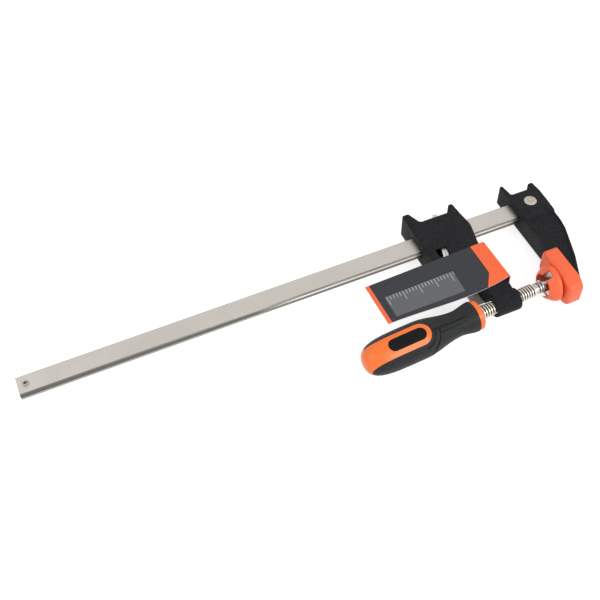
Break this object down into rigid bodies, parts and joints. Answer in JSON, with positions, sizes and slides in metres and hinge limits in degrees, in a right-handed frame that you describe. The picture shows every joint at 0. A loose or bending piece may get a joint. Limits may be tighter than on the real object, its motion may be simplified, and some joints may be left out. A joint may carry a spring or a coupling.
{
  "type": "quick release bar clamp",
  "caption": "Bar clamp with a horned fixed jaw, a quick-sliding arm on canted clutch plates, a screw spindle with swivel pad and a two-colour handle",
  "frame": {"origin": "the point where the spindle's axis meets the fixed jaw's clamping face", "axes": "+X along the bar from its free end towards the fixed jaw, +Y from the pads towards the bar, +Z out of the bar's wide face"},
  "size_m": [0.4047, 0.1141, 0.027],
  "materials": {
    "nickel_steel": "satin nickel plated steel",
    "pin_steel": "plain rolled pin",
    "black_casting": "fine textured black powder coat on iron",
    "rivet_steel": "pressed rivet head",
    "coral_pad": "satin coral moulding",
    "plate_steel": "zinc plated pressed plate",
    "spring_steel": "drawn wire",
    "spindle_steel": "zinc plated rolled thread",
    "shoe_steel": "zinc plated pressing",
    "orange_core": "satin orange moulding",
    "black_grip": "soft black overmould",
    "black_inlay": "fine black inlay",
    "printed_card": "coated card, charcoal with orange blocks"
  },
  "bodies": {
    "frame": {"bar": "nickel_steel", "stop_pin": "pin_steel", "fixed_jaw": "black_casting", "jaw_rivet": "rivet_steel", "fixed_pad_cover": "coral_pad"},
    "arm": {"sliding_arm": "black_casting", "clutch_spring": "spring_steel", "hang_card": "printed_card"},
    "clutch": {"clutch_plate_rear": "plate_steel", "clutch_plate_front": "plate_steel"},
    "carrier": {"retaining_ring": "spring_steel"},
    "screw": {"spindle": "spindle_steel", "handle_core": "orange_core", "handle_grip": "black_grip", "handle_inlay": "black_inlay"},
    "pad": {"swivel_shoe": "shoe_steel", "swivel_pad_cover": "coral_pad"}
  },
  "joints": [
    {"name": "arm_slide", "type": "slide", "parent": "frame", "child": "arm", "axis": [1, 0, 0], "range_m": [-0.288, 0]},
    {"name": "clutch_release", "type": "hinge", "parent": "arm", "child": "clutch", "pos_m": [-0.06148, 0.05025, 0], "axis": [0, 0, 1], "range_deg": [0, 13.5], "stiffness_Nm_per_rad": 0.05, "springref_deg": -5.73, "deforming": ["clutch_spring"]},
    {"name": "screw_feed", "type": "slide", "parent": "arm", "child": "carrier", "axis": [0.9983, 0.0576, 0], "range_m": [-0.02, 0]},
    {"name": "screw_turn", "type": "hinge", "parent": "carrier", "child": "screw", "pos_m": [0, 0, 0], "axis": [0.9983, 0.0576, 0], "range_deg": [-3601, 1]},
    {"name": "pad_tilt", "type": "hinge", "parent": "carrier", "child": "pad", "pos_m": [-0.00834, -0.00048, 0], "axis": [0, 0, 1], "range_deg": [-1.8, 4]}
  ],
  "couplings": [
    {"joint": "screw_turn", "follows": "screw_feed", "rad_per_m": 3141.6}
  ]
}
